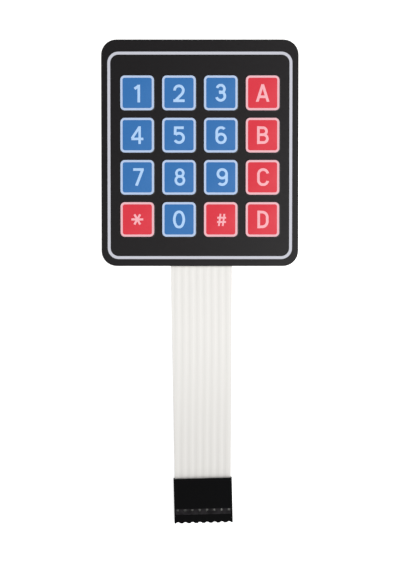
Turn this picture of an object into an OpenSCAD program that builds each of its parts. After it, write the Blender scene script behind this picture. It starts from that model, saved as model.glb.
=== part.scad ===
// Sixteen-key membrane keypad: printed films laminated into a flat pad, a film tail and an in-line plug.
// Millimetres. The pad lies with its back on z = 0 and its printed face up. The middle of its back is the
// origin, +Y runs to the top row of keys and the tail runs to -Y.

/* [Pad] */
// Width of the pad
pad_w = 68.2; // [64:0.1:100]
// Height of the pad
pad_h = 78.2; // [72:0.1:120]
// Corner radius of the pad
pad_r = 5.3; // [1:0.1:10]

/* [Layers] */
// Thickness of the paper release liner
liner_t = 0.08; // [0.05:0.01:0.3]
// Thickness of the adhesive on the pad's back
rear_adhesive_t = 0.07; // [0.03:0.01:0.3]
// Thickness of the lower circuit film
lower_film_t = 0.125; // [0.075:0.005:0.3]
// Thickness of the spacer between the circuit films
spacer_t = 0.15; // [0.1:0.01:0.4]
// Thickness of the upper circuit film
upper_film_t = 0.125; // [0.075:0.005:0.3]
// Thickness of the adhesive under the overlay
overlay_adhesive_t = 0.05; // [0.03:0.01:0.3]
// Thickness of the graphic overlay
overlay_t = 0.2; // [0.1:0.01:0.4]
// Depth of the overlay's printed layers
print_t = 0.03; // [0.01:0.005:0.06]

/* [Keys] */
// Width of a key over its rim
key_w = 11.6; // [9.5:0.05:13]
// Height of a key over its rim
key_h = 11.95; // [9.5:0.05:13]
// Outer corner radius of a key
key_r = 1.5; // [0.9:0.1:3]
// Width of the pale rim round a key
key_rim = 0.75; // [0.4:0.05:2]
// Distance between columns of keys
key_pitch_x = 14.45; // [13.2:0.05:15.5]
// Distance between rows of keys
key_pitch_y = 14.55; // [13.2:0.05:15.8]
// Distance of the keys' middle below the pad's middle
key_drop = 1.1; // [0:0.1:2.5]
// Height of the embossed keys above the overlay
key_rise = 0.12; // [0.05:0.01:0.4]

/* [Border line] */
// Gap between the pad's sides and the border line
border_side = 2.15; // [1:0.05:2.4]
// Gap between the pad's top edge and the border line
border_top = 4.2; // [1:0.1:5]
// Gap between the pad's bottom edge and the border line
border_bottom = 2.45; // [1:0.05:4]
// Width of the border line
border_line = 1; // [0.4:0.05:2]
// Outer corner radius of the border line
border_r = 3.8; // [2:0.1:6]

/* [Circuit] */
// Diameter of a contact disc
disc_d = 7; // [4:0.1:9]
// Gap between a contact disc and the edge of the spacer's hole
hole_gap = 1; // [0.3:0.1:1.5]
// Width of the air channels between the spacer's holes
vent_w = 1; // [0.5:0.1:3]
// Width of a conductor on the pad
track_w = 0.8; // [0.3:0.05:0.95]
// Distance between neighbouring conductors on the pad
track_pitch = 1.3; // [1.1:0.05:1.6]
// Distance from the contact discs' edge to the first conductor beside them
track_gap = 1; // [0.7:0.1:2]
// Diameter of the conductive posts through the spacer
post_d = 1.4; // [0.8:0.1:2]
// Thickness of the printed conductors
ink_t = 0.02; // [0.01:0.005:0.05]

/* [Tail] */
// Length of the tail between the pad and the plug
tail_l = 73.8; // [40:0.1:200]
// Film beyond the outer conductors at the pad
tail_root_margin = 1.77; // [1:0.01:4]
// Film beyond the outer conductors at the plug
tail_end_margin = 0.9; // [0.85:0.01:1.4]
// Distance of the tail's root to the side of the pad's middle
tail_shift = 0.55; // [-5:0.05:5]
// Angle at which the tail lies to the side
tail_lean = 0.35; // [-4:0.05:4]
// Angle at which the plug sits askew on the tail
plug_skew = 1; // [-1.5:0.1:1.5]
// Flat length of the tail at each end, before it climbs
tail_flat = 3; // [1:0.5:10]
// Width of a conductor on the tail
line_w = 1.4; // [0.6:0.1:1.8]
// Thickness of the cover film on the tail
cover_t = 0.075; // [0.03:0.005:0.15]
// Height of the cover film's ridges over the conductors
ridge_h = 0.05; // [0.02:0.01:0.1]
// Width of the cover film's ridges
ridge_w = 1.6; // [0.8:0.1:1.9]

/* [Plug housing] */
// Distance between the ways of the plug
way_pitch = 2.54; // [2.3:0.01:3.2]
// Length of the housing
housing_l = 15.6; // [14:0.1:22]
// Thickness of the housing
housing_t = 2.6; // [2.4:0.05:4]
// Edge radius of the housing
housing_r = 0.2; // [0.05:0.05:0.25]
// Wall above and below the contacts
housing_wall = 0.45; // [0.4:0.05:0.5]
// Wall beside the film
side_wall = 0.22; // [0.2:0.02:0.6]
// Wall at the mating end
mating_wall = 1.2; // [0.8:0.1:2]
// Length of film inside the housing
film_in = 6; // [5.2:0.1:6.5]
// Clearance round the film's end
film_gap = 0.1; // [0.05:0.01:0.2]
// Distance from the mating end to the middle of the windows
window_setback = 4.5; // [4:0.05:5]
// Width of a window
window_w = 1.15; // [1.1:0.05:1.6]
// Length of a window
window_l = 0.8; // [0.7:0.05:1.3]
// Depth of the step that the windows lie in
step_depth = 0.25; // [0.1:0.05:0.35]
// Length of the step's floor
step_l = 0.95; // [0.9:0.05:1.5]
// Length of the ramp from the step to the front
ramp_l = 1.25; // [0.5:0.05:2]
// Width of a scallop at the mating end
scallop_w = 1.6; // [1:0.05:2]
// Depth of a scallop at the mating end
scallop_depth = 0.4; // [0.1:0.05:0.6]
// Width of the square pins that the plug takes
pin_w = 0.64; // [0.5:0.01:0.8]
// Clearance round a pin in its entry
pin_gap = 0.18; // [0.05:0.01:0.2]
// Width of the flare round a pin entry
flare_w = 1.7; // [1.3:0.05:2]
// Depth of the flare round a pin entry
flare_depth = 0.35; // [0.1:0.05:0.4]

/* [Plug contacts] */
// Thickness of the contacts' metal
metal_t = 0.2; // [0.1:0.01:0.22]
// Width of a contact's box
box_w = 1.7; // [1.4:0.05:1.8]
// Clearance between a contact and its cavity
box_gap = 0.1; // [0.05:0.01:0.2]
// Distance from the end of the film's chamber to the box
box_start = 0.3; // [0.1:0.1:1]
// Width of a lance
lance_w = 0.75; // [0.6:0.05:1.05]
// Length of a lance
lance_l = 0.45; // [0.4:0.05:0.65]
// Width of a contact's spring leaf
leaf_w = 0.9; // [0.5:0.05:0.95]
// Height of the spring leaf's crest above the box's floor
leaf_rise = 0.5; // [0.3:0.05:0.55]
// Width of a contact's floor strip
strip_w = 0.9; // [0.5:0.05:1]
// Width of a crimp over its tines
crimp_w = 1.5; // [1.2:0.05:1.7]
// Length of a crimp
crimp_l = 1.2; // [0.8:0.1:1.4]
// Distance from the housing's rear end to the first crimp
crimp_start = 1.2; // [0.5:0.1:1.5]
// Distance between the two crimps of a contact
crimp_pitch = 2.4; // [1.8:0.1:2.6]
// Opening between a crimp's lips
lip_gap = 0.3; // [0.1:0.05:0.5]

/* [Hidden] */
$fn = 96;
eps = 0.01;
rows = 4;
columns = 4;
ways = rows + columns;
crimps = 2;
// One letter for each key: b for a blue field, r for a red one
key_fields = ["bbbr", "bbbr", "bbbr", "rbrr"];

// Heights of the layers' undersides
rear_adhesive_z = liner_t;
lower_film_z = rear_adhesive_z + rear_adhesive_t;
spacer_z = lower_film_z + lower_film_t;
upper_film_z = spacer_z + spacer_t;
overlay_adhesive_z = upper_film_z + upper_film_t;
overlay_z = overlay_adhesive_z + overlay_adhesive_t;
face_z = overlay_z + overlay_t;

// Conductors: distance of the nth run from the outer discs' centres, and the posts below the last run
function run_offset(n) = disc_d / 2 + track_gap + n * track_pitch;
post_y = key_y(rows - 1) - run_offset(ways / 2) - post_d / 2;

// Tail and plug
root_w = (ways - 1) * way_pitch + 2 * tail_root_margin;
end_w = (ways - 1) * way_pitch + 2 * tail_end_margin;
tail_steps = 24;
root_overlap = 2;
plug_film_z = (housing_t - lower_film_t - cover_t) / 2;
tail_top = lower_film_t + cover_t;
chamber_w = end_w + 2 * film_gap + film_in * sin(abs(plug_skew));
chamber_l = film_in + film_gap + end_w / 2 * sin(abs(plug_skew));
housing_w = chamber_w + 2 * side_wall;
cavity_h = housing_t - 2 * housing_wall;
cavity_w = box_w + 2 * box_gap;
cavity_end = housing_l - mating_wall;
window_at = housing_l - window_setback;
scallop_r = (pow(scallop_w / 2, 2) + pow(scallop_depth, 2)) / (2 * scallop_depth);
box_h = cavity_h - 2 * box_gap;
box_z = housing_wall + box_gap;
box_from = chamber_l + box_start;
box_to = cavity_end - box_gap;
lance_top = housing_t - step_depth;
crimp_end = crimp_start + (crimps - 1) * crimp_pitch + crimp_l;
crimp_top = plug_film_z + tail_top + ridge_h;

row_names = [for (r = [0:rows - 1]) str("row_trace_", r + 1)];
column_names = [for (c = [0:columns - 1]) str("column_trace_", c + 1)];
contact_names = [for (w = [0:ways - 1]) str("connector_contact_", w + 1)];

function key_x(c) = (c - (columns - 1) / 2) * key_pitch_x;
function key_y(r) = ((rows - 1) / 2 - r) * key_pitch_y - key_drop;
function way_x(w) = (w - (ways - 1) / 2) * way_pitch;
function lead_x(w) = tail_shift + way_x(w);

// Flat shapes

module rounded_rect(w, h, r) {
    square([w - 2 * r, h], center = true);
    square([w, h - 2 * r], center = true);
    for (x = [-1, 1], y = [-1, 1])
        translate([x * (w / 2 - r), y * (h / 2 - r)]) circle(r);
}

module pad_outline() {
    rounded_rect(pad_w, pad_h, pad_r);
}

module key_outline(inset = 0) {
    rounded_rect(key_w - 2 * inset, key_h - 2 * inset, max(key_r - inset, 0.2 * key_r));
}

module border_outline(inset = 0) {
    w = pad_w - 2 * border_side;
    h = pad_h - border_top - border_bottom;
    translate([0, (border_bottom - border_top) / 2])
        rounded_rect(w - 2 * inset, h - 2 * inset, border_r - inset);
}

// A printed line through the given points, with round ends and corners
module track(points, width) {
    for (p = points) translate(p) circle(d = width);
    for (i = [1:len(points) - 1]) {
        step = points[i] - points[i - 1];
        translate(points[i - 1]) rotate(atan2(step.y, step.x))
            translate([0, -width / 2]) square([norm(step), width]);
    }
}

module at_keys(field = "br") {
    for (r = [0:rows - 1], c = [0:columns - 1])
        if (len(search(key_fields[r][c], field)) > 0)
            translate([key_x(c), key_y(r)]) children();
}

module layer(z, t) {
    translate([0, 0, z]) linear_extrude(t) children();
}

// Tail: a flat strip that climbs in one smooth rise from the pad's lower film to the plug's middle.
// Its frame has the origin where it leaves the pad and -Y along the tail.

module tail_frame() {
    translate([tail_shift, -pad_h / 2, 0]) rotate(tail_lean) children();
}

// The plug's frame has the origin at its rear end. It is turned about the middle of the film inside the plug.
module plug_frame() {
    tail_frame() translate([0, -tail_l - film_in / 2, 0]) rotate(plug_skew)
        translate([0, film_in / 2, 0]) children();
}

function smooth(u) = u * u * (3 - 2 * u);

function tail_path(offset) =
    let (rise = plug_film_z - lower_film_z, climb = tail_l - 2 * tail_flat)
    concat(
        [[root_overlap, lower_film_z + offset]],
        [for (i = [0:tail_steps])
            [-tail_flat - climb * i / tail_steps, lower_film_z + rise * smooth(i / tail_steps) + offset]],
        [[-tail_l - film_in, plug_film_z + offset]]
    );

function reversed(list) = [for (i = [len(list) - 1:-1:0]) list[i]];

// A profile drawn in the YZ plane and extruded along X
module along_x(width) {
    rotate([90, 0, 90]) linear_extrude(width, center = true) children();
}

// A profile drawn in the XZ plane and extruded along -Y, from one depth to another
module along_tail(from, to) {
    translate([0, -from, 0]) rotate([90, 0, 0]) linear_extrude(to - from) children();
}

module tail_band(low, high, width) {
    along_x(width) polygon(concat(tail_path(low), reversed(tail_path(high))));
}

module tail_strip(low, high) {
    reach = tail_l + film_in + eps;
    intersection() {
        tail_band(low, high, max(root_w, end_w));
        linear_extrude(housing_t + face_z)
            polygon([
                [-root_w / 2, root_overlap + eps], [root_w / 2, root_overlap + eps],
                [root_w / 2, 0], [end_w / 2, -tail_l], [end_w / 2, -reach],
                [-end_w / 2, -reach], [-end_w / 2, -tail_l], [-root_w / 2, 0]
            ]);
    }
}

// The slots that the crimps' tines pierce through the tail's end
module tine_slots() {
    plug_frame()
        for (w = [0:ways - 1]) translate([way_x(w), 0, 0]) crimp_tines(plug_film_z, crimp_top);
}

module crimp_tines(low, high) {
    for (n = [0:crimps - 1], side = [-1, 1])
        translate([side * (crimp_w - metal_t) / 2, -crimp_start - n * crimp_pitch - crimp_l / 2, low])
            linear_extrude(high - low) square([metal_t, crimp_l], center = true);
}

// Conductors

module tail_line(w) {
    tail_frame() translate([way_x(w), 0, 0]) tail_band(lower_film_t - ink_t, lower_film_t, line_w);
}

// Where a conductor on the lower film runs on to its tail line
module line_lead(w, y) {
    track([[lead_x(w), y], [lead_x(w), -pad_h / 2 + root_overlap]], track_w);
}

module row_ink(r) {
    n = rows - 1 - r;
    bus_x = key_x(0) - run_offset(n);
    run_y = key_y(rows - 1) - run_offset(n);
    layer(spacer_z - ink_t, ink_t) {
        for (c = [0:columns - 1]) translate([key_x(c), key_y(r)]) circle(d = disc_d);
        track([
            [key_x(columns - 1), key_y(r)], [bus_x, key_y(r)], [bus_x, run_y], [lead_x(r), run_y]
        ], track_w);
        line_lead(r, run_y);
    }
    tail_line(r);
}

module column_lower_ink(c) {
    w = rows + c;
    layer(spacer_z - ink_t, ink_t) {
        translate([lead_x(w), post_y]) circle(d = post_d);
        line_lead(w, post_y);
    }
    tail_line(w);
}

module column_upper_ink(c) {
    w = rows + c;
    run_y = key_y(rows - 1) - run_offset(columns - 1 - c);
    layer(upper_film_z, ink_t) {
        for (r = [0:rows - 1]) translate([key_x(c), key_y(r)]) circle(d = disc_d);
        track([[key_x(c), key_y(0)], [key_x(c), run_y], [lead_x(w), run_y], [lead_x(w), post_y]], track_w);
        translate([lead_x(w), post_y]) circle(d = post_d);
    }
}

module column_post(c) {
    translate([lead_x(rows + c), post_y]) circle(d = post_d);
}

// Sub-parts, from the back to the front

module release_liner() {
    color("antiquewhite") layer(0, liner_t) pad_outline();
}

module rear_adhesive() {
    color("lightyellow") layer(rear_adhesive_z, rear_adhesive_t) pad_outline();
}

module lower_circuit_film() {
    color("whitesmoke") difference() {
        union() {
            layer(lower_film_z, lower_film_t) pad_outline();
            tail_frame() tail_strip(0, lower_film_t);
        }
        for (r = [0:rows - 1]) row_ink(r);
        for (c = [0:columns - 1]) column_lower_ink(c);
        tine_slots();
    }
}

module row_trace(r) {
    color("silver") difference() {
        row_ink(r);
        tine_slots();
    }
}

module circuit_spacer() {
    color("gainsboro") layer(spacer_z, spacer_t) difference() {
        pad_outline();
        at_keys() circle(d = disc_d + 2 * hole_gap);
        for (r = [0:rows - 1]) track([[key_x(0), key_y(r)], [key_x(columns - 1), key_y(r)]], vent_w);
        track([[key_x(0), key_y(0)], [key_x(0), key_y(rows - 1)]], vent_w);
        for (c = [0:columns - 1]) column_post(c);
    }
}

module column_trace(c) {
    color("silver") difference() {
        union() {
            column_upper_ink(c);
            layer(spacer_z - ink_t, spacer_t + 2 * ink_t) column_post(c);
            column_lower_ink(c);
        }
        tine_slots();
    }
}

module upper_circuit_film() {
    color("whitesmoke") difference() {
        layer(upper_film_z, upper_film_t) pad_outline();
        for (c = [0:columns - 1]) column_upper_ink(c);
    }
}

module overlay_adhesive() {
    color("lightyellow") layer(overlay_adhesive_z, overlay_adhesive_t) pad_outline();
}

module graphic_overlay() {
    color([0.17, 0.16, 0.17]) difference() {
        union() {
            layer(overlay_z, overlay_t) pad_outline();
            layer(overlay_z, overlay_t + key_rise - print_t) at_keys() key_outline();
        }
        layer(overlay_z - eps, key_rise + eps) at_keys() key_outline(overlay_t);
        border_print();
    }
}

module border_print() {
    layer(face_z - print_t, print_t) difference() {
        border_outline();
        border_outline(border_line);
    }
}

module key_print(field) {
    layer(face_z + key_rise - print_t, print_t) at_keys(field) children();
}

module white_line_print() {
    color("white") {
        border_print();
        key_print("br") difference() {
            key_outline();
            key_outline(key_rim);
        }
    }
}

module blue_key_print() {
    color([0.27, 0.48, 0.72]) key_print("b") key_outline(key_rim);
}

module red_key_print() {
    color([0.86, 0.28, 0.34]) key_print("r") key_outline(key_rim);
}

module tail_cover_film() {
    color("snow") difference() {
        tail_frame() {
            tail_strip(lower_film_t, tail_top);
            for (w = [0:ways - 1])
                translate([way_x(w), 0, 0]) tail_band(tail_top - eps, tail_top + ridge_h, ridge_w);
        }
        layer(0, face_z) pad_outline();
        tine_slots();
    }
}

module connector_housing() {
    color([0.07, 0.07, 0.07]) plug_frame() difference() {
        along_tail(0, housing_l)
            translate([0, housing_t / 2]) rounded_rect(housing_w, housing_t, housing_r);
        along_tail(-eps, chamber_l)
            translate([0, housing_t / 2]) square([chamber_w, cavity_h], center = true);
        for (w = [0:ways - 1]) translate([way_x(w), 0, 0]) housing_way();
        housing_step();
    }
}

// One way of the housing: cavity, window, pin entry with its flare, and scallop
module housing_way() {
    along_tail(chamber_l - eps, cavity_end)
        translate([0, housing_t / 2]) square([cavity_w, cavity_h], center = true);
    translate([0, -window_at, housing_t / 2])
        linear_extrude(housing_t) square([window_w, window_l], center = true);
    along_tail(cavity_end - eps, housing_l + eps)
        translate([0, housing_t / 2]) square(pin_w + 2 * pin_gap, center = true);
    translate([0, -housing_l + scallop_depth, housing_t / 2]) rotate([-90, 0, 0])
        cylinder(h = flare_depth, d1 = flare_w, d2 = pin_w + 2 * pin_gap);
    translate([0, -housing_l + scallop_depth - scallop_r, -eps])
        cylinder(r = scallop_r, h = housing_t + 2 * eps);
}

// A shallow step across the front: a flat floor with the windows in it, then a ramp up to the mating end
module housing_step() {
    floor_from = window_at - step_l / 2;
    floor_to = window_at + step_l / 2;
    floor_z = housing_t - step_depth;
    along_x(housing_w + 2 * eps) polygon([
        [-floor_from, housing_t + eps], [-floor_from, floor_z], [-floor_to, floor_z],
        [-floor_to - ramp_l, housing_t], [-floor_to - ramp_l, housing_t + eps]
    ]);
}

// A stamped contact: two crimps through the tail's end, a strip under it and a box that takes the pin
module connector_contact(w) {
    color("lightgray") plug_frame() translate([way_x(w), 0, 0]) {
        contact_crimps();
        contact_strip();
        contact_box();
    }
}

module contact_crimps() {
    crimp_tines(plug_film_z - metal_t, crimp_top + metal_t);
    lip_w = (crimp_w - lip_gap) / 2;
    for (n = [0:crimps - 1]) {
        from = crimp_start + n * crimp_pitch;
        along_tail(from, from + crimp_l) {
            translate([0, plug_film_z - metal_t / 2]) square([crimp_w, metal_t], center = true);
            for (side = [-1, 1])
                translate([side * (crimp_w - lip_w) / 2, crimp_top + metal_t / 2])
                    square([lip_w, metal_t], center = true);
        }
    }
}

module contact_strip() {
    along_x(strip_w) polygon([
        [-crimp_start, plug_film_z], [-crimp_end, plug_film_z],
        [-box_from, box_z + metal_t], [-box_from - metal_t, box_z + metal_t],
        [-box_from - metal_t, box_z], [-box_from, box_z],
        [-crimp_end, plug_film_z - metal_t], [-crimp_start, plug_film_z - metal_t]
    ]);
}

module contact_box() {
    along_tail(box_from, box_to) translate([0, box_z + box_h / 2]) difference() {
        square([box_w, box_h], center = true);
        square([box_w - 2 * metal_t, box_h - 2 * metal_t], center = true);
    }
    lance_from = window_at - lance_l / 2;
    along_x(lance_w) polygon([
        [-lance_from, box_z + box_h - metal_t / 2], [-lance_from, lance_top],
        [-lance_from - lance_l / 2, lance_top], [-lance_from - lance_l, box_z + box_h],
        [-lance_from - lance_l, box_z + box_h - metal_t / 2]
    ]);
    contact_leaf();
}

// The spring leaf in the box: it rises from the floor to a crest that presses on the pin
module contact_leaf() {
    foot_z = box_z + metal_t;
    leaf_l = box_to - box_from;
    crest = box_from + 0.6 * leaf_l;
    tip = box_from + 0.85 * leaf_l;
    along_x(leaf_w) polygon([
        [-box_from - metal_t, foot_z - metal_t / 2], [-box_from - 2 * metal_t, foot_z],
        [-crest, foot_z + leaf_rise - metal_t], [-tip, foot_z + leaf_rise / 2 - metal_t],
        [-tip, foot_z + leaf_rise / 2], [-crest, foot_z + leaf_rise],
        [-box_from - metal_t, foot_z + metal_t / 2]
    ]);
}

release_liner();
rear_adhesive();
lower_circuit_film();
for (r = [0:rows - 1])
    row_trace(r);
circuit_spacer();
for (c = [0:columns - 1])
    column_trace(c);
upper_circuit_film();
overlay_adhesive();
graphic_overlay();
white_line_print();
blue_key_print();
red_key_print();
tail_cover_film();
connector_housing();
for (w = [0:ways - 1])
    connector_contact(w);
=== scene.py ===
# A sixteen-key membrane keypad that lies on its back on a white table, seen from straight above.
# The sections follow the keypad as it is laminated: from the paper on its back to the printed face, then the
# tail and the plug. All sizes are in metres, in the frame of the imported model.
import math

import bmesh
import bpy
from mathutils import Matrix, Vector
from mathutils.geometry import delaunay_2d_cdt


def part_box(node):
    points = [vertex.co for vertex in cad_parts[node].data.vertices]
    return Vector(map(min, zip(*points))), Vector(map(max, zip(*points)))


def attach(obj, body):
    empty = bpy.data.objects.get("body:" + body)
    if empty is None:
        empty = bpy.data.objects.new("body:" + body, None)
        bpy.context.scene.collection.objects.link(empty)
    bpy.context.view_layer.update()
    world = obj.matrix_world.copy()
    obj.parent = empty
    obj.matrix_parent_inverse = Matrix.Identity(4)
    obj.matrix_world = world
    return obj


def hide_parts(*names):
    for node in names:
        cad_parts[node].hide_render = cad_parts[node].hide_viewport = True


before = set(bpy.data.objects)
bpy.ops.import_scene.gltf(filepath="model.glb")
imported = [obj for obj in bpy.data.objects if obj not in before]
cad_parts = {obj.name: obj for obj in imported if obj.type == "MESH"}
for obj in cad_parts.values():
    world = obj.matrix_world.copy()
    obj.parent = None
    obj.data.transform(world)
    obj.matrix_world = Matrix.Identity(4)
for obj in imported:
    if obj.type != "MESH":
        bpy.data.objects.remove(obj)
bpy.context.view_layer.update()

# Camera: almost straight above the keypad and a little below its middle, leaning by two degrees, so that the
# pad's top is slightly nearer than the plug. Its focal length is the photograph's, in pixels of its frame.
MM = 0.001
PHOTO_HEIGHT = 570
FOCAL_PIXELS = 1294.5
SENSOR_WIDTH = 36
CAMERA_PLACE = Vector((0.04, -29.7, 450)) * MM
CAMERA_LEAN = math.radians(2.035)
NEAREST_SEEN = 10 * MM

scene = bpy.context.scene
scene.view_settings.view_transform = "Standard"
camera_data = bpy.data.cameras.new("camera")
camera_data.sensor_width = SENSOR_WIDTH
camera_data.lens = FOCAL_PIXELS / PHOTO_HEIGHT * SENSOR_WIDTH
camera_data.clip_start = NEAREST_SEEN
camera = bpy.data.objects.new("camera", camera_data)
camera.location = CAMERA_PLACE
camera.rotation_euler = (-CAMERA_LEAN, 0, 0)
scene.collection.objects.link(camera)
scene.camera = camera


# Release liner: a sheet of coated paper over the adhesive back, die-cut with the pad and peeled off before
# the keypad is stuck down. Faint fibres and a slow cockle show on its outer face.
class Wire:
    """A socket of a node tree. Arithmetic on it adds Math nodes."""

    def __init__(self, tree, socket=None):
        self.tree = tree
        self.socket = socket

    def node(self, kind, settings=None, **inputs):
        """Adds a node: its settings are set first, then its inputs by name, or by number as in0, in1."""
        made = self.tree.nodes.new("ShaderNode" + kind)
        for name, value in (settings or {}).items():
            setattr(made, name, value)
        for name, value in inputs.items():
            key = int(name[2:]) if name.startswith("in") else name.replace("_", " ")
            self.put(made.inputs[key], value)
        return Wire(self.tree, made.outputs[0])

    def out(self, name):
        """Another output of this socket's node."""
        return Wire(self.tree, self.socket.node.outputs[name])

    def put(self, socket, value):
        """Links or sets an input."""
        if isinstance(value, Wire):
            self.tree.links.new(value.socket, socket)
        elif socket.type == "RGBA":
            socket.default_value = (*value, 1)
        else:
            socket.default_value = value

    def maths(self, operation, *values):
        """A Math node on these values."""
        inputs = {f"in{i}": value for i, value in enumerate(values)}
        return self.node("Math", {"operation": operation}, **inputs)

    def __add__(self, other):
        return self.maths("ADD", self, other)

    def __sub__(self, other):
        return self.maths("SUBTRACT", self, other)

    def __rsub__(self, other):
        return self.maths("SUBTRACT", other, self)

    def __mul__(self, other):
        return self.maths("MULTIPLY", self, other)

    def __gt__(self, other):
        return self.maths("GREATER_THAN", self, other)

    def __lt__(self, other):
        return self.maths("LESS_THAN", self, other)

    __radd__ = __add__
    __rmul__ = __mul__

    def noise(self, size, detail=2.0, roughness=0.5):
        """A noise of about that grain size in metres, from 0 to 1, read at this place."""
        return self.node("TexNoise", Vector=self, Scale=1 / size, Detail=detail, Roughness=roughness)

    def ramp(self, start, end, low=0.0, high=1.0):
        """A soft step of this value, from low at start to high at end."""
        return self.node(
            "MapRange", {"interpolation_type": "SMOOTHSTEP"}, Value=self, From_Min=start, From_Max=end,
            To_Min=low, To_Max=high)

    def between(self, low, high):
        """A noise, most of which lies from 0.3 to 0.7, spread out to run from low to high."""
        return self.ramp(0.3, 0.7, low, high)

    def blend(self, low, high):
        """A colour between two colours, by this value: a Mix node's inputs 6 and 7 and its output 2."""
        return self.node("Mix", {"data_type": "RGBA"}, Factor=self, in6=low, in7=high).out(2)


def srgb(red, green, blue):
    """A colour as it looks on screen, 0 to 255, in the linear values that shaders take."""
    levels = (red / 255, green / 255, blue / 255)
    return tuple(c / 12.92 if c <= 0.04045 else ((c + 0.055) / 1.055) ** 2.4 for c in levels)


def finish(name, colour, roughness, relief, depth, **constants):
    """A Principled material: colour, roughness and relief are functions of the place on the piece."""
    material = bpy.data.materials.new(name)
    material.use_nodes = True
    shader = material.node_tree.nodes["Principled BSDF"]
    place = Wire(material.node_tree).node("TexCoord").out("Object")
    place.put(shader.inputs["Base Color"], colour(place))
    place.put(shader.inputs["Roughness"], roughness(place))
    bump = place.node("Bump", Height=relief(place), Distance=depth, Strength=1.0)
    place.put(shader.inputs["Normal"], bump)
    for socket, value in constants.items():
        shader.inputs[socket.replace("_", " ")].default_value = value
    return material


def dress(material, *names):
    """Gives CAD nodes this material."""
    for name in names:
        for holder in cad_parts[name].material_slots:
            holder.material = material


PAPER_SHADES = srgb(229, 223, 209), srgb(240, 235, 224)
FIBRE_SIZE = 0.9 * MM
COATING_PATCH = 4 * MM
TOOTH_SIZE = 0.4 * MM
TOOTH_SHARE = 0.2
COCKLE_SIZE = 14 * MM
COCKLE_DEPTH = 0.06 * MM
dress(
    finish(
        "coated_paper",
        colour=lambda p: p.noise(FIBRE_SIZE, detail=6, roughness=0.75).ramp(0.25, 0.75).blend(*PAPER_SHADES),
        roughness=lambda p: p.noise(COATING_PATCH).between(0.38, 0.55),
        relief=lambda p: p.noise(TOOTH_SIZE, detail=5, roughness=0.7) * TOOTH_SHARE + p.noise(COCKLE_SIZE),
        depth=COCKLE_DEPTH),
    "release_liner")

# Adhesive layers and the spacer: clear to milky pressure-sensitive films that hold the sheets together. Only
# their cut edges show, as pale lines in the side of the pad, so they are soft and slightly uneven.
ADHESIVE_SHADES = srgb(206, 202, 186), srgb(222, 219, 206)
SPACER_SHADES = srgb(214, 214, 210), srgb(228, 228, 225)
CLOUD_SIZE = 2 * MM
SMEAR_SIZE = 1 * MM
CUT_GRAIN = 0.3 * MM
CUT_DEPTH = 0.02 * MM


def sticky_film(name, shades, glossiest):
    return finish(
        name,
        colour=lambda p: p.noise(CLOUD_SIZE, detail=3).blend(*shades),
        roughness=lambda p: p.noise(SMEAR_SIZE).between(glossiest, 0.6),
        relief=lambda p: p.noise(CUT_GRAIN, detail=3),
        depth=CUT_DEPTH)


dress(sticky_film("adhesive", ADHESIVE_SHADES, 0.35), "rear_adhesive", "overlay_adhesive")
dress(sticky_film("spacer_film", SPACER_SHADES, 0.4), "circuit_spacer")

# Circuit films: two sheets of milky polyester, of which the lower one runs on as the tail. Its underside is
# the tail's back, smooth with a faint drawn grain along its length, and the conductors show through it as
# grey lines.
TAIL_SHIFT = 0.55 * MM
TAIL_LEAN = math.radians(0.35)
WAYS = 8
WAY_PITCH = 2.54 * MM
# Where a conductor's line begins and is full, in the cosine across the pitch: 1 between lines, -1 on them
LINE_BEGINS = 0.6
LINE_FULL = -0.3
MILKY_SHADES = srgb(224, 224, 221), srgb(234, 234, 231)
SHOWN_THROUGH = srgb(207, 207, 205)
MILKY_CLOUD = 6 * MM
GLOSS_PATCH = 3 * MM
DRAWN_GRAIN = 0.5 * MM
DRAWN_STRETCH = 0.08
DRAWN_DEPTH = 0.006 * MM
pad_low, pad_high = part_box("graphic_overlay")
tail_frame = Matrix.Translation((TAIL_SHIFT, pad_low.y, 0)) @ Matrix.Rotation(TAIL_LEAN, 4, "Z")
half_lines = WAYS / 2 * WAY_PITCH


def tail_place(p):
    """The place in the tail's own frame: across the tail in X and, backwards, along it in Y."""
    return p.node(
        "Mapping", {"vector_type": "TEXTURE"}, Vector=p, Location=tail_frame.translation,
        Rotation=(0, 0, TAIL_LEAN))


def conductor_lines(place):
    """1 over the tail's conductors and 0 between them, at a place in the tail's frame."""
    across = place.node("SeparateXYZ", Vector=place)
    lines = place.maths("COSINE", across * (math.tau / WAY_PITCH)).ramp(LINE_BEGINS, LINE_FULL)
    return lines * (place.maths("ABSOLUTE", across) < half_lines)


def drawn_grain(p, size, stretch):
    """A fine grain, drawn out along the tail."""
    return p.node("Mapping", Vector=p, Scale=(1, stretch, 1)).noise(size, detail=3)


def polyester(name, colour):
    return finish(
        name, colour,
        roughness=lambda p: p.noise(GLOSS_PATCH).between(0.26, 0.38),
        relief=lambda p: drawn_grain(p, DRAWN_GRAIN, DRAWN_STRETCH),
        depth=DRAWN_DEPTH)


def milky(p):
    return p.noise(MILKY_CLOUD, detail=4).blend(*MILKY_SHADES)


def milky_with_lines(p):
    return conductor_lines(tail_place(p)).blend(milky(p), SHOWN_THROUGH)


dress(polyester("upper_polyester", milky), "upper_circuit_film")
dress(polyester("tail_polyester", milky_with_lines), "lower_circuit_film")

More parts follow.
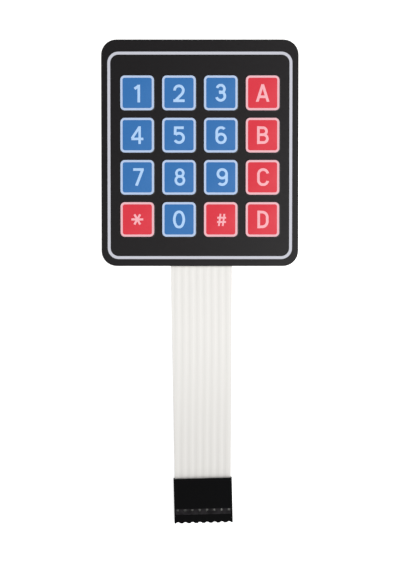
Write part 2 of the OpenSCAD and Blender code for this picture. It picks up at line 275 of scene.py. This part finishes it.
# Conductors: silver-filled ink, screen printed on the facing sides of the two films: the rows on the lower
# one and the columns on the upper one, with posts of ink down to their lines on the tail.
KEY_ROWS = 4
KEY_COLUMNS = 4
SILVER_SHADES = srgb(150, 150, 148), srgb(190, 190, 188)
FLAKE_SIZE = 0.12 * MM
INK_PATCH = 0.2 * MM
INK_GRAIN = 0.08 * MM
INK_DEPTH = 0.004 * MM
dress(
    finish(
        "silver_ink",
        colour=lambda p: p.noise(FLAKE_SIZE, detail=4, roughness=0.7).blend(*SILVER_SHADES),
        roughness=lambda p: p.noise(INK_PATCH).between(0.35, 0.6),
        relief=lambda p: p.noise(INK_GRAIN, detail=3),
        depth=INK_DEPTH, Metallic=0.7),
    *(f"row_trace_{n}" for n in range(1, KEY_ROWS + 1)),
    *(f"column_trace_{n}" for n in range(1, KEY_COLUMNS + 1)))

# Graphic overlay: one sheet of polyester with a fine velvet texture, printed black from behind, with its
# keys pressed up as low flat-topped cushions. The die leaves a slightly rounded edge all round.
PAD_CORNER = 5.3 * MM
PAD_EDGE = 0.06 * MM
PAD_EDGE_STEPS = 3
KEY_SIZE = Vector((11.6, 11.95)) * MM
KEY_CORNER = 1.5 * MM
KEY_PITCH = Vector((14.45, 14.55)) * MM
KEY_DROP = 1.1 * MM
PRINT_DEPTH = 0.03 * MM
# Gap between the film and its prints, so that no two faces share a plane
HAIR = 0.005 * MM
FACE_TOLERANCE = HAIR / 10
# How far a key's cushion reaches past its rim, and the shares of its width and height in each shoulder step
SHOULDER = 0.3 * MM
SHOULDER_STEPS = ((0.3, 0.15), (0.4, 0.7), (0.3, 0.15))
CORNER_STEPS = 10
# The upward part of a face's normal that parts level faces from walls
LEVEL = 0.5
BLACK_SHADES = srgb(17, 14, 16), srgb(22, 19, 21)
INK_CLOUD = 0.9 * MM
VELVET_PATCH = 0.25 * MM
VELVET_GRAIN = 0.16 * MM
VELVET_DEPTH = 0.012 * MM
FILM_GLOSS = 0.45
pad_size = (pad_high - pad_low).xy
film_low = pad_low.z
film_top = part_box("white_line_print")[0].z + PRINT_DEPTH - 2 * HAIR
key_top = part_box("blue_key_print")[1].z
cushion_top = key_top - PRINT_DEPTH - HAIR


def key_place(row, column):
    """The middle of a key; row 0 is at the top and column 0 at the left."""
    x = (column - (KEY_COLUMNS - 1) / 2) * KEY_PITCH.x
    y = ((KEY_ROWS - 1) / 2 - row) * KEY_PITCH.y - KEY_DROP
    return Vector((x, y, 0))


def draw_panel(mesh, size, corner, place, cells=1):
    """A flat sheet with round corners, of one face or of a grid of cells."""
    sheet = bmesh.ops.create_grid(mesh, x_segments=cells, y_segments=cells, size=0.5)["verts"]
    bmesh.ops.scale(mesh, vec=(size.x, size.y, 1), verts=sheet)
    bmesh.ops.translate(mesh, vec=place, verts=sheet)
    bmesh.ops.bevel(
        mesh, geom=[v for v in sheet if len(v.link_edges) == 2], offset=corner, offset_type="OFFSET",
        affect="VERTICES", segments=CORNER_STEPS, profile=0.5, material=-1)


def merge_flat(mesh, tolerance):
    """Makes one sheet of flat faces that overlap: none share a place, and every outline is an edge."""
    keep_outlines = 4
    mesh.normal_update()
    bmesh.ops.reverse_faces(mesh, faces=[f for f in mesh.faces if f.normal.z < 0])
    mesh.verts.index_update()
    outlines = [[v.index for v in f.verts] for f in mesh.faces]
    points, _, outlines, _, _, sources = delaunay_2d_cdt(
        [v.co.xy for v in mesh.verts], [], outlines, keep_outlines, tolerance)
    mesh.clear()
    corners = [mesh.verts.new((*point, 0)) for point in points]
    for outline, source in zip(outlines, sources):
        if source:
            mesh.faces.new([corners[i] for i in outline])
    bmesh.ops.delete(mesh, geom=[v for v in mesh.verts if not v.link_faces], context="VERTS")


def thicken(mesh, low):
    """Closes a sheet into a solid with a flat underside at height low."""
    made = bmesh.ops.extrude_face_region(mesh, geom=mesh.faces[:])["geom"]
    for vert in made:
        if isinstance(vert, bmesh.types.BMVert):
            vert.co.z = low
    bmesh.ops.recalc_face_normals(mesh, faces=mesh.faces)


def add_piece(name, mesh, material, slot, *replaced):
    """A finished bmesh as a piece of the keypad, in place of the CAD nodes that it replaces."""
    data = bpy.data.meshes.new(name)
    mesh.to_mesh(data)
    mesh.free()
    data.materials.append(material)
    piece = bpy.data.objects.new(name, data)
    scene.collection.objects.link(piece)
    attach(piece, "root")
    if replaced:
        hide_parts(*replaced)
    return piece


def behind_film(name, colour):
    """An ink seen through the overlay's textured film."""
    return finish(
        name, colour,
        roughness=lambda p: p.noise(VELVET_PATCH, detail=3).between(0.28, 0.36),
        relief=lambda p: p.noise(VELVET_GRAIN),
        depth=VELVET_DEPTH, Specular_IOR_Level=FILM_GLOSS)


def printed(name, shades):
    """An ink of one colour, laid a little unevenly."""
    return behind_film(name, lambda p: p.noise(INK_CLOUD, detail=4).blend(*shades))


def is_key_face(face):
    middle = face.calc_center_median()
    return face.normal.z > LEVEL and any(
        abs(middle.x - place.x) < KEY_SIZE.x / 2 and abs(middle.y - place.y) < KEY_SIZE.y / 2
        for place in key_places)


key_places = [key_place(row, column) for row in range(KEY_ROWS) for column in range(KEY_COLUMNS)]
face_mesh = bmesh.new()
draw_panel(face_mesh, pad_size, PAD_CORNER, Vector((0, 0, 0)))
for place in key_places:
    draw_panel(face_mesh, KEY_SIZE + Vector((2, 2)) * SHOULDER, KEY_CORNER + SHOULDER, place)
merge_flat(face_mesh, FACE_TOLERANCE)
bmesh.ops.translate(face_mesh, vec=(0, 0, film_top), verts=face_mesh.verts)
thicken(face_mesh, film_low)
walls = [f for f in face_mesh.faces if abs(f.normal.z) < LEVEL]
pad_rim = [e for f in walls for e in f.edges if all(v.co.z > film_top - HAIR for v in e.verts)]
bmesh.ops.bevel(
    face_mesh, geom=pad_rim, offset=PAD_EDGE, offset_type="OFFSET", affect="EDGES", segments=PAD_EDGE_STEPS,
    profile=0.5, material=-1)
cushions = [f for f in face_mesh.faces if is_key_face(f)]
for width, rise in SHOULDER_STEPS:
    ring = bmesh.ops.inset_region(
        face_mesh, faces=cushions, thickness=width * (SHOULDER - HAIR),
        depth=rise * (cushion_top - film_top), use_boundary=True, use_even_offset=True)["faces"]
    for face in ring:
        face.smooth = True
black_overlay = printed("black_overlay", BLACK_SHADES)
add_piece("overlay_face", face_mesh, black_overlay, "overlay_black", "graphic_overlay")

# Printed fields and lines: screen inks that show through the same film, so they share its texture. The white
# ink takes a little of the colour of the key that it rims, and each field is pressed up into a low crown.
LEGENDS = ("123A", "456B", "789C", "*0#D")
DIGITS = "0123456789"
LETTERS = "ABCD*#"
KEY_RIM = 0.75 * MM
FIELD_SIZE = KEY_SIZE - Vector((2, 2)) * KEY_RIM
FIELD_CELLS = 12
CROWN = 0.15 * MM
SOFT_EDGE = math.radians(30)
BORDER_WHITE = srgb(203, 204, 214)
BLUE_RIM = srgb(187, 206, 237)
RED_RIM = srgb(241, 187, 195)
BLUE_SHADES = srgb(51, 113, 179), srgb(56, 118, 183)
RED_SHADES = srgb(221, 52, 67), srgb(225, 57, 72)


def crown(point):
    """How far the field of a key stands above its rim at a place on the pad."""
    middle = min(key_places, key=lambda place: (point - place).xy.length)
    off = (point - middle).xy * 2
    return CROWN * (1 - (off.x / FIELD_SIZE.x) ** 2) * (1 - (off.y / FIELD_SIZE.y) ** 2)


def soften(mesh):
    """Shades a solid's faces as one smooth surface up to its hard edges."""
    for edge in mesh.edges:
        edge.smooth = edge.calc_face_angle() < SOFT_EDGE
    for face in mesh.faces:
        face.smooth = True


def wanted_keys(wanted):
    """The sign and the middle of each key whose sign is wanted."""
    keys = zip("".join(LEGENDS), key_places)
    return [(sign, middle) for sign, middle in keys if sign in wanted]


def field_mesh(wanted):
    """The crowned fields of the keys whose sign is wanted."""
    mesh = bmesh.new()
    for _, middle in wanted_keys(wanted):
        draw_panel(mesh, FIELD_SIZE, KEY_CORNER - KEY_RIM, middle, FIELD_CELLS)
    for vert in mesh.verts:
        vert.co.z = key_top + crown(vert.co)
    thicken(mesh, key_top - PRINT_DEPTH)
    soften(mesh)
    return mesh


def white_ink(p):
    """The border line's white and the rims' tints: red in the right column and round signs, else blue."""
    x = p.node("SeparateXYZ", Vector=p)
    y = x.out("Y") + KEY_DROP
    letter_column = x > KEY_PITCH.x
    sign_row = y < -KEY_PITCH.y
    zero_column = (x > -KEY_PITCH.x) * (x < 0)
    red = p.maths("MAXIMUM", letter_column, sign_row * (1 - zero_column))
    beside_keys = p.maths("ABSOLUTE", x) < KEY_COLUMNS / 2 * KEY_PITCH.x
    inside = beside_keys * (p.maths("ABSOLUTE", y) < KEY_ROWS / 2 * KEY_PITCH.y)
    return inside.blend(BORDER_WHITE, red.blend(BLUE_RIM, RED_RIM))


dress(behind_film("white_ink", white_ink), "white_line_print")
blue_ink = printed("blue_ink", BLUE_SHADES)
red_ink = printed("red_ink", RED_SHADES)
add_piece("blue_fields", field_mesh(DIGITS), blue_ink, "blue_print", "blue_key_print")
add_piece("red_fields", field_mesh(LETTERS), red_ink, "red_print", "red_key_print")

# Legends: the digits, letters and signs on the keys, screen printed in a narrow hand. Each is a thin layer
# of ink made of pen strokes, straight runs and arcs, trimmed at the cap line and the base line. They are
# drawn in millimetres and then scaled.
CAP_HEIGHT = 6.1
PEN = 0.92
THIN_PENS = {"4": 0.86, "8": 0.87, "*": 0.72, "#": 0.61}
RUN_STEP = 0.8
ARC_STEP = 12
FULL_TURN = 360
DRAWING_TOLERANCE = 0.00001
WELD = 0.002
LEGEND_INK = 0.012 * MM
DIGIT_SHADES = srgb(176, 211, 249), srgb(183, 216, 253)
LETTER_SHADES = srgb(250, 179, 187), srgb(253, 186, 193)
# How far a legend sits off the middle of its key
NUDGES = {
    "1": (0.12, -0.25), "2": (0, -0.15), "4": (0.1, 0), "6": (0.1, 0), "7": (0.3, 0.1), "8": (0.3, 0.1),
    "9": (0.5, 0.1), "C": (0.2, 0.1), "D": (0.2, 0), "#": (0.3, -0.15)}
# The strokes of each legend, from its middle: the start, the heading in degrees, and the moves. A number is
# a straight run, and a pair is an arc of that radius and turn, to the left if the turn is positive.
SIX = [((1.5, -1.12), 90, [(1.5, 360)]), ((-1.5, -1.12), 90, [2.24, (1.5, -140)])]
STROKES = {
    "0": [((1.65, 0), 90, [(4, 30), (1.29, 120), (4, 60), (1.29, 120), (4, 30)])],
    "1": [((0.45, -3.1), 90, [6.2]), ((0.6, 2.8), 216, [2])],
    "2": [((-1.5, 0.95), 90, [0.1, (1.5, -180), (2, -45), 3.3]), ((-1.95, -2.55), 0, [3.9])],
    "3": [((-1.26, 1.69), 75, [(1.28, -255), 0.6]), ((-1.45, -1.5), 285, [(1.45, 255), 0.6])],
    "4": [((0.75, -3.1), 90, [6.2]), ((-2.1, -1.3), 0, [4.15]), ((0.75, 2.9), 236.5, [4.9])],
    "5": [((-1.75, 2.55), 0, [3.4]), ((-1.25, 3), 268, [2.9]), ((-1.23, 0.08), 50, [(1.6, -290)])],
    "6": SIX,
    "7": [((-1.7, 2.6), 0, [3.65]), ((1.55, 2.6), 249, [6])],
    "8": [((1.2, 1.35), 90, [(1.2, 360)]), ((1.42, -1.13), 90, [(1.42, 360)])],
    "9": [((-x, -y), heading + 180, moves) for (x, y), heading, moves in SIX],
    "A": [((-1.95, -3.3), 72.5, [6.5]), ((1.95, -3.3), 107.5, [6.5]), ((-1.2, -1.35), 0, [2.4])],
    "B": [((-1.45, -3.1), 90, [6.2]), ((-1.5, 2.55), 0, [1.65, (1.2, -180), 1.65]),
          ((-1.5, 0.15), 0, [1.8, (1.35, -180), 1.8])],
    "C": [((1.6, 1.25), 100, [(1.62, 170), 2, (1.62, 170)])],
    "D": [((-1.5, -3.1), 90, [6.2]), ((-1.6, 2.55), 0, [1.3, (1.75, -90), 1.6, (1.75, -90), 1.3])],
    "*": [((-2.05, 0), 0, [4.1]), ((-1, -1.73), 60, [4]), ((1, -1.73), 120, [4])],
    "#": [((-1.5, 0.75), 0, [3.05]), ((-1.55, -0.75), 0, [3.05]), ((-0.97, -2.1), 82, [4.2]),
          ((0.38, -2.1), 82, [4.2])],
}


def towards(heading):
    return Vector((math.cos(math.radians(heading)), math.sin(math.radians(heading)), 0))


def draw_arc(mesh, edge, centre, turn):
    """Sweeps the end of a ribbon round a centre and gives its new end. A full turn closes on itself."""
    spun = bmesh.ops.spin(
        mesh, geom=[edge, *edge.verts], cent=centre, axis=(0, 0, 1), angle=math.radians(turn),
        steps=math.ceil(abs(turn) / ARC_STEP), use_merge=abs(turn) == FULL_TURN)
    return next((g for g in spun["geom_last"] if isinstance(g, bmesh.types.BMEdge)), edge)


def draw_run(mesh, edge, heading, length):
    """Draws the end of a ribbon straight out, in short steps, and gives its new end."""
    steps = math.ceil(length / RUN_STEP)
    for _ in range(steps):
        made = bmesh.ops.extrude_edge_only(mesh, edges=[edge])["geom"]
        ends = {g for g in made if isinstance(g, bmesh.types.BMVert)}
        bmesh.ops.translate(mesh, vec=towards(heading) * length / steps, verts=list(ends))
        edge = next(g for g in made if isinstance(g, bmesh.types.BMEdge) and set(g.verts) == ends)
    return edge


def draw_stroke(mesh, place, heading, moves, width):
    """A flat ribbon along straight runs and arcs."""
    side = towards(heading + 90) * width / 2
    edge = mesh.edges.new([mesh.verts.new(place + side), mesh.verts.new(place - side)])
    for move in moves:
        if isinstance(move, tuple):
            radius, turn = move
            inward = math.copysign(90, turn)
            centre = place + towards(heading + inward) * radius
            edge = draw_arc(mesh, edge, centre, turn)
            heading += turn
            place = centre + towards(heading - inward) * radius
        else:
            edge = draw_run(mesh, edge, heading, move)
            place = place + towards(heading) * move


def draw_legend(mesh, sign, middle):
    """One legend as flat ribbons, trimmed at its cap line and base line."""
    before = set(mesh.verts)
    for start, heading, moves in STROKES[sign]:
        draw_stroke(mesh, middle + Vector((*start, 0)), heading, moves, THIN_PENS.get(sign, PEN))
    for way in (1, -1):
        verts = [v for v in mesh.verts if v not in before]
        edges = {e for v in verts for e in v.link_edges}
        faces = {f for v in verts for f in v.link_faces}
        bmesh.ops.bisect_plane(
            mesh, geom=[*verts, *edges, *faces], plane_co=middle + Vector((0, way * CAP_HEIGHT / 2, 0)),
            plane_no=(0, way, 0), clear_outer=True)


def legend_mesh(wanted):
    """The legends whose sign is wanted, as one layer of ink that follows the crowns of their keys."""
    mesh = bmesh.new()
    for sign, middle in wanted_keys(wanted):
        draw_legend(mesh, sign, middle / MM + Vector((*NUDGES.get(sign, (0, 0)), 0)))
    merge_flat(mesh, DRAWING_TOLERANCE)
    bmesh.ops.remove_doubles(mesh, verts=mesh.verts, dist=WELD)
    bmesh.ops.scale(mesh, vec=(MM, MM, MM), verts=mesh.verts)
    bmesh.ops.translate(mesh, vec=(0, 0, key_top + LEGEND_INK), verts=mesh.verts)
    thicken(mesh, key_top)
    for vert in mesh.verts:
        vert.co.z += crown(vert.co)
    soften(mesh)
    return mesh


add_piece("digit_legends", legend_mesh(DIGITS), printed("digit_ink", DIGIT_SHADES), "white_print")
add_piece("letter_legends", legend_mesh(LETTERS), printed("letter_ink", LETTER_SHADES), "white_print")

# Tail cover: a thin white film laid over the tail. It stands in low soft ridges over the conductors, which
# show through it a little greyer, and it climbs with the tail from the pad to the middle of the plug. Its
# colour holds painted shade too: darker towards the plug, and darker between the ridges than on them there.
TAIL_LENGTH = 73.8 * MM
TAIL_FLAT = 3 * MM
FILM_IN_PLUG = 5.95 * MM
FILM_START = 0.5 * MM
ROOT_MARGIN = 1.77 * MM
END_MARGIN = 0.9 * MM
COVER_THICKNESS = 0.075 * MM
FILM_THICKNESS = 0.125 * MM
RIDGE_HEIGHT = 0.05 * MM
COVER_COLUMNS = 160
COVER_ROWS = 80
# The share of the tail's length where the painted shade starts, and the tones at the pad and, painted
# darker, at the plug
PAINTED_SHADE_FROM = 0.25
RIDGE_TONES_PAINTED_SHADE = srgb(236, 234, 230), srgb(227, 225, 221)
GAP_TONES_PAINTED_SHADE = srgb(241, 239, 235), srgb(221, 219, 215)
COVER_PATCH = 3 * MM
COVER_GRAIN = 0.6 * MM
COVER_STRETCH = 0.2
COVER_DEPTH = 0.006 * MM
root_width = (WAYS - 1) * WAY_PITCH + 2 * ROOT_MARGIN
end_width = (WAYS - 1) * WAY_PITCH + 2 * END_MARGIN
cover_length = FILM_START + TAIL_LENGTH + FILM_IN_PLUG
cover_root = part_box("circuit_spacer")[0].z + COVER_THICKNESS
cover_end = (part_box("connector_housing")[1].z + FILM_THICKNESS + COVER_THICKNESS) / 2


def within(share):
    return min(max(share, 0), 1)


cover_mesh = bmesh.new()
bmesh.ops.create_grid(cover_mesh, x_segments=COVER_COLUMNS, y_segments=COVER_ROWS, size=0.5)
for vert in cover_mesh.verts:
    along = (0.5 - vert.co.y) * cover_length - FILM_START
    across = vert.co.x * (root_width + (end_width - root_width) * within(along / TAIL_LENGTH))
    climb = within((along - TAIL_FLAT) / (TAIL_LENGTH - 2 * TAIL_FLAT))
    height = cover_root + (cover_end - cover_root) * climb * climb * (3 - 2 * climb)
    if abs(across) < half_lines:
        height += RIDGE_HEIGHT * (0.5 - 0.5 * math.cos(math.tau * across / WAY_PITCH))
    vert.co = tail_frame @ Vector((across, -along, height))
bmesh.ops.bisect_plane(
    cover_mesh, geom=[*cover_mesh.verts, *cover_mesh.edges, *cover_mesh.faces],
    plane_co=(0, pad_low.y - HAIR, 0), plane_no=(0, 1, 0), clear_outer=True)
bmesh.ops.recalc_face_normals(cover_mesh, faces=cover_mesh.faces)
for face in cover_mesh.faces:
    face.smooth = True


def cover_colour(p):
    place = tail_place(p)
    along = place.node("SeparateXYZ", Vector=place).out("Y")
    # Painted shade: darker towards the plug, and in the gaps between the ridges more than on them
    painted_shade_to_plug = along.ramp(-PAINTED_SHADE_FROM * TAIL_LENGTH, -TAIL_LENGTH)
    return conductor_lines(place).blend(painted_shade_to_plug.blend(*GAP_TONES_PAINTED_SHADE), painted_shade_to_plug.blend(*RIDGE_TONES_PAINTED_SHADE))


cover = add_piece(
    "tail_cover", cover_mesh,
    finish(
        "white_cover_film", cover_colour,
        roughness=lambda p: p.noise(COVER_PATCH).between(0.34, 0.46),
        relief=lambda p: drawn_grain(p, COVER_GRAIN, COVER_STRETCH),
        depth=COVER_DEPTH),
    "cover_film", "tail_cover_film")
cover_solid = cover.modifiers.new("film", "SOLIDIFY")
cover_solid.thickness = COVER_THICKNESS
cover_solid.offset = -1

# Plug housing: a black glass-filled moulding with a fine matt skin, pressed on to the tail's end. The
# shallow step round its windows is painted a little greyer, as a painted highlight where it catches light.
PLUG_SKEW = math.radians(1)
HIGHLIGHT_BAND_FROM = 10.6 * MM
HIGHLIGHT_BAND_TO = 12.6 * MM
HIGHLIGHT_BAND_REACH = 9.7 * MM
HIGHLIGHT_BAND_BLUR = 0.1 * MM
HOUSING_BLACK = srgb(6, 6, 7)
PAINTED_HIGHLIGHT_GREY = srgb(42, 40, 42)
HIGHLIGHT_PATCH = 2.5 * MM
SKIN_PATCH = 0.3 * MM
SKIN_GRAIN = 0.12 * MM
SKIN_DEPTH = 0.008 * MM
SKIN_GLOSS = 0.05
pivot = FILM_IN_PLUG / 2
plug_frame = (
    tail_frame @ Matrix.Translation((0, -TAIL_LENGTH - pivot, 0)) @ Matrix.Rotation(PLUG_SKEW, 4, "Z")
    @ Matrix.Translation((0, pivot, 0)))


def plug_axes(p):
    """The place in the plug's own frame: across it in X and, backwards, from its rear end in Y."""
    place = p.node(
        "Mapping", {"vector_type": "TEXTURE"}, Vector=p, Location=plug_frame.translation,
        Rotation=(0, 0, TAIL_LEAN + PLUG_SKEW))
    return place.node("SeparateXYZ", Vector=place)


def soft_within(distance, reach):
    """1 up to that reach and 0 beyond it, with a soft edge."""
    return distance.ramp(reach + HIGHLIGHT_BAND_BLUR, reach - HIGHLIGHT_BAND_BLUR)


def housing_colour(p):
    axes = plug_axes(p)
    off_band = p.maths("ABSOLUTE", axes.out("Y") * -1 - (HIGHLIGHT_BAND_FROM + HIGHLIGHT_BAND_TO) / 2)
    off_middle = p.maths("ABSOLUTE", axes)
    # Painted highlight: a patchy greyer band across the step round the windows
    band = soft_within(off_band, (HIGHLIGHT_BAND_TO - HIGHLIGHT_BAND_FROM) / 2) * soft_within(off_middle, HIGHLIGHT_BAND_REACH)
    painted_highlight = band * p.noise(HIGHLIGHT_PATCH, detail=3).ramp(0.3, 0.65, 0.35, 1.0)
    return painted_highlight.blend(HOUSING_BLACK, PAINTED_HIGHLIGHT_GREY)


dress(
    finish(
        "moulded_black", housing_colour,
        roughness=lambda p: p.noise(SKIN_PATCH, detail=3).between(0.36, 0.5),
        relief=lambda p: p.noise(SKIN_GRAIN, detail=3),
        depth=SKIN_DEPTH, Specular_IOR_Level=SKIN_GLOSS),
    "connector_housing")

# Contacts: stamped from tin-plated strip and pushed into the plug. Their lances show as small steps in the
# plug's windows, painted brighter along their middle, with painted light: dimmer at the left, full at the
# right.
LANCE_WIDTH = 0.75 * MM
PAINTED_LIGHT_AT_LEFT = 0.4
TIN_DULL = srgb(70, 70, 69)
TIN_STRIPE = srgb(152, 152, 149)
TIN_PATCH = 0.2 * MM
TIN_GRAIN = 0.1 * MM
TIN_DEPTH = 0.004 * MM


def tin_colour(p):
    across = plug_axes(p)
    off_gap = p.maths("PINGPONG", across, WAY_PITCH / 2)
    middle_stripe = off_gap.ramp(WAY_PITCH / 2 - LANCE_WIDTH / 2, WAY_PITCH / 2 - LANCE_WIDTH / 8)
    # Painted light: the bright middles are dimmer towards the left and full at the right, the lamp's side
    stripe_with_painted_light = across.ramp(-half_lines, half_lines, PAINTED_LIGHT_AT_LEFT, 1.0) * middle_stripe
    return stripe_with_painted_light.blend(TIN_DULL, TIN_STRIPE)


dress(
    finish(
        "tin_plate", tin_colour,
        roughness=lambda p: p.noise(TIN_PATCH, detail=3).between(0.22, 0.4),
        relief=lambda p: p.noise(TIN_GRAIN, detail=3),
        depth=TIN_DEPTH, Metallic=1.0),
    *(f"connector_contact_{n}" for n in range(1, WAYS + 1)))

# Table: a plain white top under the keypad. What the camera, a reflection or clear film sees of it is lifted
# to white, and it keeps the keypad's shadow.
TABLE_SIZE = 20.0
TABLE_WHITE = (0.85, 0.85, 0.85, 1)
TABLE_ROUGHNESS = 0.7
TABLE_LIFT = 0.7
WHITE = (1, 1, 1, 1)
table_mesh = bmesh.new()
bmesh.ops.create_grid(table_mesh, x_segments=1, y_segments=1, size=TABLE_SIZE / 2)
table_data = bpy.data.meshes.new("table")
table_mesh.to_mesh(table_data)
table_mesh.free()
table = bpy.data.objects.new("table", table_data)
scene.collection.objects.link(table)
table_white = bpy.data.materials.new("table_white")
table_white.use_nodes = True
surface = table_white.node_tree.nodes["Principled BSDF"]
surface.inputs["Base Color"].default_value = TABLE_WHITE
surface.inputs["Roughness"].default_value = TABLE_ROUGHNESS
surface.inputs["Emission Color"].default_value = WHITE
path = Wire(table_white.node_tree).node("LightPath")
seen = path.maths("MAXIMUM", path.out("Is Camera Ray"), path.out("Is Glossy Ray"))
seen = path.maths("MAXIMUM", seen, path.out("Is Transmission Ray"))
path.put(surface.inputs["Emission Strength"], seen * TABLE_LIFT)
table_data.materials.append(table_white)

# Lamp: one wide soft lamp at the right, a little nearer than the keypad and well above it.
# It lights the right side of the black face a little more than the left.
LAMP_PLACE = Vector((0.6, -0.22, 0.95))
LAMP_AIM = Vector((0, -0.03, 0))
LAMP_SIZE = 0.7
LAMP_POWER = 6.2
lamp_data = bpy.data.lights.new("soft_lamp", "AREA")
lamp_data.size = LAMP_SIZE
lamp_data.energy = LAMP_POWER
lamp = bpy.data.objects.new("soft_lamp", lamp_data)
lamp.location = LAMP_PLACE
lamp.rotation_euler = (LAMP_AIM - LAMP_PLACE).to_track_quat("-Z", "Y").to_euler()
scene.collection.objects.link(lamp)

# Room: pale all round and dark overhead, where the camera is, so that the black film mirrors little light.
# The camera itself sees white behind the table's edge.
DARK_MIDDLE = Vector((-0.34, 0.36, 1)).normalized()
DARK_WITHIN = math.cos(math.radians(14))
PALE_BEYOND = math.cos(math.radians(44))
DARK_LEVEL = 0.05
PALE_LEVEL = 0.865
world = bpy.data.worlds.new("room")
scene.world = world
world.use_nodes = True
background = world.node_tree.nodes["Background"]
direction = Wire(world.node_tree).node("TexCoord").out("Generated")
towards_dark = direction.node("VectorMath", {"operation": "DOT_PRODUCT"}, in0=direction, in1=DARK_MIDDLE)
room_light = towards_dark.out("Value").ramp(PALE_BEYOND, DARK_WITHIN, PALE_LEVEL, DARK_LEVEL)
looked_at = direction.node("LightPath").out("Is Camera Ray")
direction.put(background.inputs["Strength"], direction.maths("MAXIMUM", room_light, looked_at))
background.inputs["Color"].default_value = WHITE
